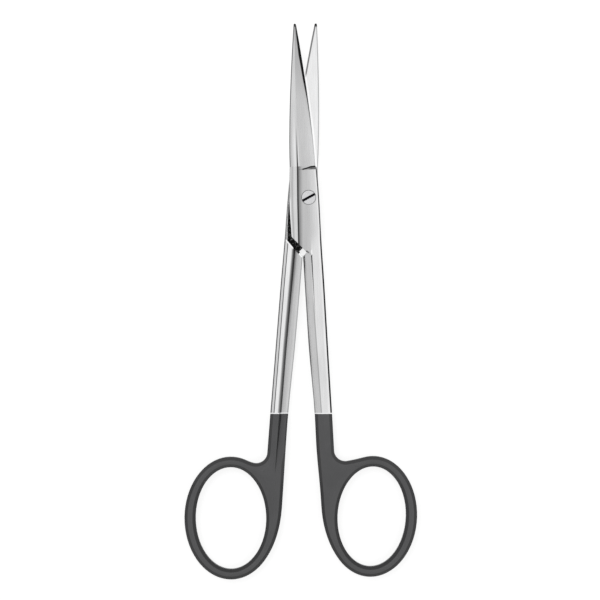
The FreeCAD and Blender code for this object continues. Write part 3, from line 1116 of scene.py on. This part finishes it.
@dataclass(frozen=True)
class TurnedSteel:
    """The fine turned steel of the screw, with painted shade in its slot and on its steep rim."""

    face: Colour = (0.74, 0.74, 0.75)
    # rim: painted shade on the steep rim and sides, also mixed into the face at random by the haze
    rim: Colour = (0.04, 0.04, 0.045)
    painted_slot_shade: Colour = (0.006, 0.006, 0.007)
    ring_spacing: float = 0.16
    haze: float = 0.25
    haze_scale: float = 6.0
    steep: Reach = (0.92, 0.70)
    slot_shade: Reach = (4.12 * MM, 4.0 * MM)
    slot_end: Reach = (2.0 * MM, 2.2 * MM)
    roughness: Reach = (0.22, 0.34)
    bump_strength: float = 0.12
    bump_height: float = 0.00001

    def build(self) -> bpy.types.Material:
        """Makes the finish.

        Returns:
            The material.
        """
        sheet = NodeSheet(bpy.data.materials.new("turned_screw_steel"))
        source = sheet.node("ShaderNodeTexCoord")
        point, normal = source.outputs["Object"], source.outputs["Normal"]
        x, y, z = sheet.split(point)
        _nx, _ny, nz = sheet.split(normal)
        radius = sheet.math("SQRT", sheet.add(sheet.both(x, x), sheet.both(y, y)))
        rings = sheet.math("SINE", sheet.both(radius, 2 * math.pi / (self.ring_spacing * MM)))
        haze = sheet.noise(sheet.place(point, TO_MM), self.haze_scale, 2.0, 0.5)
        face = sheet.mix(sheet.ramp(haze, *NOISE_SPAN, 0.0, self.haze), self.face, self.rim)
        # painted shade on steep faces
        steep = sheet.ramp(sheet.math("ABSOLUTE", nz), *self.steep)
        colour = sheet.mix(steep, face, self.rim)
        # painted shade in the slot
        deep = sheet.both(sheet.ramp(z, *self.slot_shade), sheet.ramp(z, *self.slot_end))
        colour = sheet.mix(deep, colour, self.painted_slot_shade)
        rough = sheet.ramp(rings, -1.0, 1.0, *self.roughness)
        sheet.surface(colour, 1.0, rough, sheet.bump(rings, self.bump_strength, self.bump_height))
        return sheet.material


@dataclass
class PivotScrew:
    """The slotted screw that the halves turn on, its head level with the front face."""

    shaft_radius: float = 1.3 * MM
    head_radius: float = 2.05 * MM
    head_height: float = 1.0 * MM
    top: float = 4.2 * MM
    rim_chamfer: float = 0.16 * MM
    slot_width: float = 0.72 * MM
    slot_depth: float = 0.5 * MM
    slot_angle: float = 29.0
    edge_round: float = 0.03 * MM
    finish: TurnedSteel = field(default_factory=TurnedSteel)
    sides: int = 96
    rim_drop: float = 0.6
    near: float = 0.01 * MM
    bevel_angle: float = 25.0
    smooth_angle: float = 20.0

    def turn_head(self) -> bpy.types.Object:
        """Turns the head and draws the shaft out of it.

        Returns:
            The screw without its slot.
        """
        bpy.ops.object.select_all(action="DESELECT")
        middle = self.top - self.head_height / 2
        bpy.ops.mesh.primitive_cylinder_add(
            vertices=self.sides, radius=self.head_radius, depth=self.head_height, location=(0, 0, middle),
        )
        screw = bpy.context.active_object
        screw.name = screw.data.name = "pivot_screw_turned"
        bpy.ops.object.transform_apply(location=True, rotation=True, scale=True)
        self.pick_face(screw, -1)
        bpy.ops.object.mode_set(mode="EDIT")
        bpy.ops.mesh.inset(thickness=self.head_radius - self.shaft_radius)
        bpy.ops.mesh.extrude_region_move(
            TRANSFORM_OT_translate={"value": (0, 0, self.head_height - self.top)},
        )
        bpy.ops.object.mode_set(mode="OBJECT")
        self.pick_face(screw, 1)
        bpy.ops.object.mode_set(mode="EDIT")
        bpy.ops.mesh.inset(thickness=self.rim_chamfer)
        bpy.ops.object.mode_set(mode="OBJECT")
        for corner in screw.data.vertices:
            if corner.co.z > self.top - self.near and corner.co.xy.length > self.head_radius - self.near:
                corner.co.z -= self.rim_drop * self.rim_chamfer
        return screw

    def pick_face(self, screw: bpy.types.Object, side: int) -> None:
        """Selects the flat face at one end.

        Args:
            screw: The screw.
            side: One for the top face, minus one for the bottom one.
        """
        bpy.ops.object.mode_set(mode="EDIT")
        bpy.ops.mesh.select_all(action="DESELECT")
        bpy.ops.mesh.select_mode(type="FACE")
        bpy.ops.object.mode_set(mode="OBJECT")
        ends = [face for face in screw.data.polygons if side * face.normal.z > 0.9]
        farthest = max(side * face.center.z for face in ends)
        for face in ends:
            face.select = side * face.center.z > farthest - self.near

    def cut_slot(self, screw: bpy.types.Object) -> None:
        """Cuts the slot across the head.

        Args:
            screw: The screw.
        """
        bpy.ops.object.select_all(action="DESELECT")
        bpy.ops.mesh.primitive_cube_add(size=1, location=(0, 0, self.top))
        saw = bpy.context.active_object
        saw.scale = (3 * self.head_radius, self.slot_width, 2 * self.slot_depth)
        saw.rotation_euler = (0, 0, math.radians(self.slot_angle))
        bpy.ops.object.transform_apply(location=True, rotation=True, scale=True)
        select_only(screw)
        cut = screw.modifiers.new("slot", "BOOLEAN")
        cut.operation = "DIFFERENCE"
        cut.solver = "EXACT"
        cut.object = saw
        bpy.ops.object.modifier_apply(modifier=cut.name)
        bpy.data.objects.remove(saw)

    def build(self) -> bpy.types.Object:
        """Makes the screw, gives it its finish and sets it on the rear half.

        Returns:
            The finished screw.
        """
        screw = self.turn_head()
        self.cut_slot(screw)
        bevel = screw.modifiers.new("broken_edges", "BEVEL")
        bevel.width = self.edge_round
        bevel.segments = 2
        bevel.limit_method = "ANGLE"
        bevel.angle_limit = math.radians(self.bevel_angle)
        bpy.ops.object.modifier_apply(modifier=bevel.name)
        bpy.ops.object.shade_smooth_by_angle(angle=math.radians(self.smooth_angle))
        screw.data.materials.append(self.finish.build())
        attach(screw, Body.REAR.value)
        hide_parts("pivot_screw")
        return screw


@dataclass
class Studio:
    """The pale floor, the lamps and the camera."""

    centre: tuple[float, float] = (-0.0025, -0.02943)
    frame_width: float = 0.17229
    lens: float = 150.0
    focus_height: float = 0.003
    floor_size: float = 6.0
    floor_drop: float = 0.00003
    paper: tuple[Colour, Colour] = ((0.31, 0.31, 0.31), (0.33, 0.33, 0.33))
    paper_grain: float = 900.0
    paper_glow: float = 0.80
    ambient: float = 0.55
    sensor: float = 36.0

    def lay_floor(self) -> bpy.types.Object:
        """Lays the white floor, a touch brighter where it is seen and never where it lights.

        Returns:
            The floor.
        """
        bpy.ops.object.select_all(action="DESELECT")
        bpy.ops.mesh.primitive_plane_add(size=self.floor_size, location=(0, 0, -self.floor_drop))
        floor = bpy.context.active_object
        floor.name = "floor"
        sheet = NodeSheet(bpy.data.materials.new("white_floor"))
        paper = sheet.node("ShaderNodeBsdfDiffuse")
        grain = sheet.noise(sheet.node("ShaderNodeTexCoord").outputs["Object"], self.paper_grain)
        sheet.feed(paper.inputs["Color"], sheet.mix(grain, *self.paper))
        glow = sheet.node("ShaderNodeEmission")
        sheet.feed(glow.inputs["Strength"], sheet.both(self.seen(sheet), self.paper_glow))
        total = sheet.node("ShaderNodeAddShader")
        sheet.feed(total.inputs[0], paper.outputs[0])
        sheet.feed(total.inputs[1], glow.outputs[0])
        output = sheet.node("ShaderNodeOutputMaterial")
        sheet.feed(output.inputs["Surface"], total.outputs[0])
        floor.data.materials.append(sheet.material)
        return floor

    def seen(self, sheet: NodeSheet) -> Socket:
        """Tells the rays of eye, gloss and glass from those that carry light.

        Args:
            sheet: The node tree that it is for.

        Returns:
            One where the background is seen.
        """
        path = sheet.node("ShaderNodeLightPath")
        gloss = sheet.most(path.outputs["Is Glossy Ray"], path.outputs["Is Transmission Ray"])
        return sheet.most(path.outputs["Is Camera Ray"], gloss)

    def light_world(self) -> None:
        """Lights the room evenly, and shows it white wherever it is seen."""
        world = bpy.data.worlds.new("studio")
        bpy.context.scene.world = world
        sheet = NodeSheet(world)
        choice = sheet.node("ShaderNodeMixShader")
        sheet.feed(choice.inputs[0], self.seen(sheet))
        for place, strength in ((1, self.ambient), (2, 1.0)):
            white = sheet.node("ShaderNodeBackground")
            white.inputs["Color"].default_value = (1, 1, 1, 1)
            white.inputs["Strength"].default_value = strength
            sheet.feed(choice.inputs[place], white.outputs[0])
        output = sheet.node("ShaderNodeOutputWorld")
        sheet.feed(output.inputs["Surface"], choice.outputs[0])

    def hang_lamp(self, name: str, place: Axes, size: float, power: float) -> None:
        """Hangs one soft lamp that points at the scissors and isn't mirrored by the steel.

        Args:
            name: The lamp's name.
            place: Where it hangs.
            size: The side of its square window.
            power: Its power in watts.
        """
        lamp = bpy.data.lights.new(name, "AREA")
        lamp.shape = "SQUARE"
        lamp.size = size
        lamp.energy = power
        holder = bpy.data.objects.new(name, lamp)
        holder.location = place
        aim = Vector((*self.centre, 0)) - Vector(place)
        holder.rotation_euler = aim.to_track_quat("-Z", "Y").to_euler()
        holder.visible_glossy = False
        bpy.context.scene.collection.objects.link(holder)

    def set_camera(self) -> None:
        """Sets the camera straight above the scissors, with the photograph's frame."""
        camera = bpy.data.cameras.new("camera")
        camera.lens = self.lens
        camera.sensor_width = self.sensor
        camera.clip_start, camera.clip_end = 0.01, 20.0
        height = self.frame_width * self.lens / camera.sensor_width
        holder = bpy.data.objects.new("camera", camera)
        holder.location = (*self.centre, height + self.focus_height)
        bpy.context.scene.collection.objects.link(holder)
        bpy.context.scene.camera = holder

    def build(self) -> None:
        """Sets the whole stage."""
        self.lay_floor()
        self.light_world()
        self.hang_lamp("key_lamp", (-0.35, 0.35, 0.75), 0.6, 2.6)
        self.hang_lamp("fill_lamp", (0.45, -0.25, 0.60), 0.5, 0.9)
        self.set_camera()
        bpy.context.scene.view_settings.view_transform = "Standard"


def main() -> None:
    """Builds the pieces in order, then the stage."""
    logging.basicConfig(level=logging.INFO, format="%(name)s: %(message)s")
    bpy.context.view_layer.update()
    assemblies = (
        ScissorHalf(Half.REAR, Body.REAR),
        ScissorHalf(Half.FRONT, Body.FRONT),
        PivotScrew(),
    )
    for assembly in assemblies:
        piece = assembly.build()
        log.info("%s: %d triangles", piece.name, triangles(piece))
    Studio().build()


if __name__ == "__main__":
    main()
